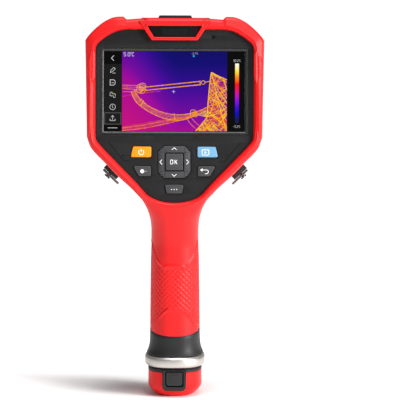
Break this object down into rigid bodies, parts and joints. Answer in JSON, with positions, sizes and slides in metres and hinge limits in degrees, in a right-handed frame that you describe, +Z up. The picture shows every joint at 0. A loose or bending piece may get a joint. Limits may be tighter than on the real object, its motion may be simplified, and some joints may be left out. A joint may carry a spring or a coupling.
{
  "type": "thermal imaging camera",
  "caption": "Pistol-grip thermal imaging camera with a rear display, keypad, front lens, pull trigger and a battery that slides out of the handle.",
  "frame": {"origin": "middle of the flat base under the battery end cap", "axes": "+Z up along the handle, +Y out of the lens along its optical axis, the display faces -Y tilted 9 degrees up, +X to the right as the display is read"},
  "size_m": [0.1204, 0.085, 0.2582],
  "materials": {
    "red_overmould": "satin moulded rubber",
    "red_plastic": "fine moulded texture",
    "black_plastic": "fine moulded texture",
    "panel_plastic": "fine moulded texture",
    "key_grey": "soft satin",
    "key_orange": "soft satin",
    "key_blue": "soft satin",
    "display_glass": "polished cover glass",
    "window_glass": "polished dark glass",
    "germanium": "polished infrared lens coating",
    "satin_metal": "satin turned",
    "lens_metal": "black anodised",
    "steel": "brushed",
    "circuit_board": "solder mask",
    "module_metal": "plain sheet",
    "cell_wrap": "shrink wrap over a metal can",
    "contacts": "gold plated",
    "lamp": "clear lamp lens"
  },
  "bodies": {
    "camera": {"rear_housing": "red_overmould", "front_housing": "black_plastic", "front_grip": "red_overmould", "rear_bezel": "panel_plastic", "display_surround": "panel_plastic", "display_glass": "display_glass", "display_module": "module_metal", "chassis_plate": "module_metal", "main_board": "circuit_board", "speaker_grille": "black_plastic", "speaker": "black_plastic", "microphone": "module_metal", "keypad_membrane": "key_grey", "keypad_board": "circuit_board", "cover_hinge_pin": "steel", "usb_socket": "steel", "card_socket": "steel", "strap_anchor_right": "black_plastic", "strap_bracket_right": "steel", "bracket_screw_right": "steel", "strap_anchor_left": "black_plastic", "strap_bracket_left": "steel", "bracket_screw_left": "steel", "lens_mount": "black_plastic", "lens_barrel": "lens_metal", "front_element": "germanium", "lens_retainer": "lens_metal", "rear_element": "germanium", "shutter_frame": "black_plastic", "detector": "contacts", "detector_board": "circuit_board", "sensor_window": "window_glass", "visible_camera": "black_plastic", "laser_module": "contacts", "torch_lamp": "lamp", "trigger_bracket": "steel", "trigger_spring": "steel", "trigger_switch": "black_plastic", "grip_collar": "black_plastic", "metal_ring": "satin_metal", "battery_contacts": "contacts"},
    "power_key": {"power_key": "key_orange"},
    "gallery_key": {"gallery_key": "key_blue"},
    "lamp_key": {"lamp_key": "key_grey"},
    "back_key": {"back_key": "key_grey"},
    "more_key": {"more_key": "key_grey"},
    "ok_key": {"ok_key": "key_grey"},
    "nav_gimbal": {"nav_gimbal": "steel"},
    "nav_ring": {"nav_ring": "key_grey"},
    "trigger": {"trigger": "black_plastic"},
    "focus_ring": {"focus_ring": "black_plastic"},
    "shutter_blade": {"shutter_blade": "module_metal"},
    "port_cover": {"port_cover": "black_plastic"},
    "battery": {"battery_cap": "red_plastic", "latch_frame": "black_plastic", "latch_spring": "steel", "battery_case": "black_plastic", "battery_lid": "black_plastic", "battery_cell": "cell_wrap"},
    "latch": {"latch_button": "key_grey"}
  },
  "joints": [
    {"name": "power_press", "type": "slide", "parent": "camera", "child": "power_key", "axis": [0, 0.9877, -0.1564], "range_m": [0, 0.0008], "stiffness_N_per_m": 1500},
    {"name": "gallery_press", "type": "slide", "parent": "camera", "child": "gallery_key", "axis": [0, 0.9877, -0.1564], "range_m": [0, 0.0008], "stiffness_N_per_m": 1500},
    {"name": "lamp_press", "type": "slide", "parent": "camera", "child": "lamp_key", "axis": [0, 0.9877, -0.1564], "range_m": [0, 0.0008], "stiffness_N_per_m": 1500},
    {"name": "back_press", "type": "slide", "parent": "camera", "child": "back_key", "axis": [0, 0.9877, -0.1564], "range_m": [0, 0.0008], "stiffness_N_per_m": 1500},
    {"name": "more_press", "type": "slide", "parent": "camera", "child": "more_key", "axis": [0, 0.9877, -0.1564], "range_m": [0, 0.0008], "stiffness_N_per_m": 1500},
    {"name": "ok_press", "type": "slide", "parent": "camera", "child": "ok_key", "axis": [0, 0.9877, -0.1564], "range_m": [0, 0.0008], "stiffness_N_per_m": 1500},
    {"name": "nav_up_down", "type": "hinge", "parent": "camera", "child": "nav_gimbal", "pos_m": [0, -0.01907, 0.16086], "axis": [1, 0, 0], "range_deg": [-2.5, 2.5], "stiffness_Nm_per_rad": 0.5},
    {"name": "nav_left_right", "type": "hinge", "parent": "nav_gimbal", "child": "nav_ring", "pos_m": [0, -0.01907, 0.16086], "axis": [0, 0.1564, 0.9877], "range_deg": [-2.5, 2.5], "stiffness_Nm_per_rad": 0.5},
    {"name": "trigger_pull", "type": "slide", "parent": "camera", "child": "trigger", "axis": [0, -1, 0], "range_m": [0, 0.004], "stiffness_N_per_m": 800},
    {"name": "focus_turn", "type": "hinge", "parent": "camera", "child": "focus_ring", "pos_m": [0, 0.038, 0.2], "axis": [0, 1, 0], "range_deg": [-60, 60]},
    {"name": "shutter_swing", "type": "hinge", "parent": "camera", "child": "shutter_blade", "pos_m": [0, 0.0151, 0.185], "axis": [0, 1, 0], "range_deg": [0, 75]},
    {"name": "cover_open", "type": "hinge", "parent": "camera", "child": "port_cover", "pos_m": [0, 0.02253, 0.25198], "axis": [-1, 0, 0], "range_deg": [0, 95]},
    {"name": "battery_slide", "type": "slide", "parent": "camera", "child": "battery", "axis": [0, 0, -1], "range_m": [0, 0.085]},
    {"name": "latch_press", "type": "slide", "parent": "battery", "child": "latch", "axis": [0, 1, 0], "range_m": [0, 0.0016], "stiffness_N_per_m": 1500}
  ]
}
